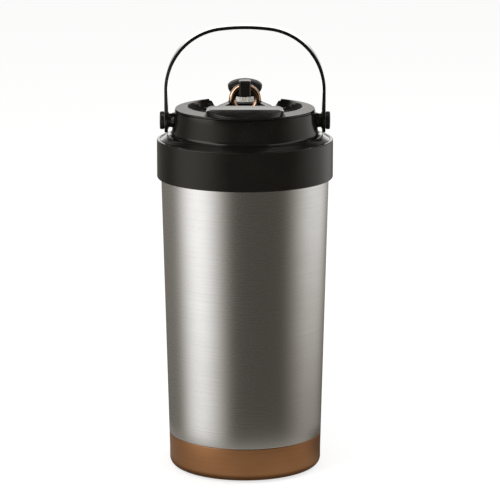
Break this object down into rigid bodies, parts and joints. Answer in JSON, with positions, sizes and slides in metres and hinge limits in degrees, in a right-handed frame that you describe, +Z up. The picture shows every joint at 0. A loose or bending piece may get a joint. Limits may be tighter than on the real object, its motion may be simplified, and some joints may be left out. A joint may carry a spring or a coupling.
{
  "type": "growler",
  "caption": "Insulated steel growler with a copper base cup, locking collar, bail handle, hinged pour flap and a sprung ring-pull vent on the lid.",
  "frame": {"origin": "on the table, under the middle of the body", "axes": "+Z up along the body's axis, -Y towards the pour flap (the pictured front), +X to the right seen from the front"},
  "size_m": [0.13, 0.13, 0.3324],
  "materials": {
    "shell_steel": "stainless steel, brushed round the body",
    "inner_steel": "stainless steel, satin drawn",
    "turned_steel": "stainless steel, turned",
    "copper_cup": "copper-plated steel, satin",
    "copper_ring": "copper-plated bar, polished",
    "black_plastic": "black moulded plastic, satin",
    "black_strap": "black painted steel strap, satin",
    "white_plastic": "natural white food-grade plastic",
    "foam": "rigid foam filling",
    "silicone": "translucent white silicone",
    "black_rubber": "black rubber"
  },
  "bodies": {
    "vessel": {"outer_shell": "shell_steel", "inner_liner": "inner_steel", "liner_floor": "inner_steel", "shell_bottom": "inner_steel", "vacuum_seal": "inner_steel", "base_cup": "copper_cup", "foot_pad": "black_rubber"},
    "lid": {"lid_neck": "black_plastic", "top_deck": "black_plastic", "lid_plug": "white_plastic", "insulation_puck": "foam", "lid_gasket": "silicone", "plug_screws": "turned_steel", "pour_tube": "black_plastic", "vent_tube": "white_plastic", "valve_body": "turned_steel", "valve_gasket": "black_rubber", "valve_base": "black_plastic", "valve_washer": "black_rubber", "fluted_collar": "white_plastic", "flap_pin": "turned_steel", "stud_left": "black_plastic", "stud_right": "black_plastic", "inner_washers": "turned_steel", "outer_washers": "turned_steel", "vent_spring": "turned_steel"},
    "collar": {"lock_collar": "black_plastic"},
    "handle": {"handle_strap": "black_strap"},
    "flap": {"spout_flap": "black_plastic", "flap_seal": "silicone"},
    "vent": {"vent_knob": "black_plastic", "ring_lug": "black_plastic", "vent_stem": "turned_steel", "vent_seal": "silicone"},
    "ring": {"pull_ring": "copper_ring"}
  },
  "joints": [
    {"name": "lid_lift", "type": "slide", "parent": "vessel", "child": "lid", "axis": [0, 0, 1], "range_m": [0, 0.045]},
    {"name": "collar_turn", "type": "hinge", "parent": "lid", "child": "collar", "pos_m": [0, 0, 0.235], "axis": [0, 0, -1], "range_deg": [0, 45]},
    {"name": "handle_swing", "type": "hinge", "parent": "lid", "child": "handle", "pos_m": [0, 0, 0.2617], "axis": [1, 0, 0], "range_deg": [-90, 90]},
    {"name": "flap_open", "type": "hinge", "parent": "lid", "child": "flap", "pos_m": [0, -0.024, 0.2737], "axis": [-1, 0, 0], "range_deg": [0, 80]},
    {"name": "vent_lift", "type": "slide", "parent": "lid", "child": "vent", "axis": [0, 0, 1], "range_m": [0, 0.0035], "stiffness_N_per_m": 800, "springref_m": -0.004, "deforming": ["vent_spring"]},
    {"name": "ring_swing", "type": "hinge", "parent": "vent", "child": "ring", "pos_m": [0, -0.013, 0.2883], "axis": [-1, 0, 0], "range_deg": [0, 18]}
  ]
}
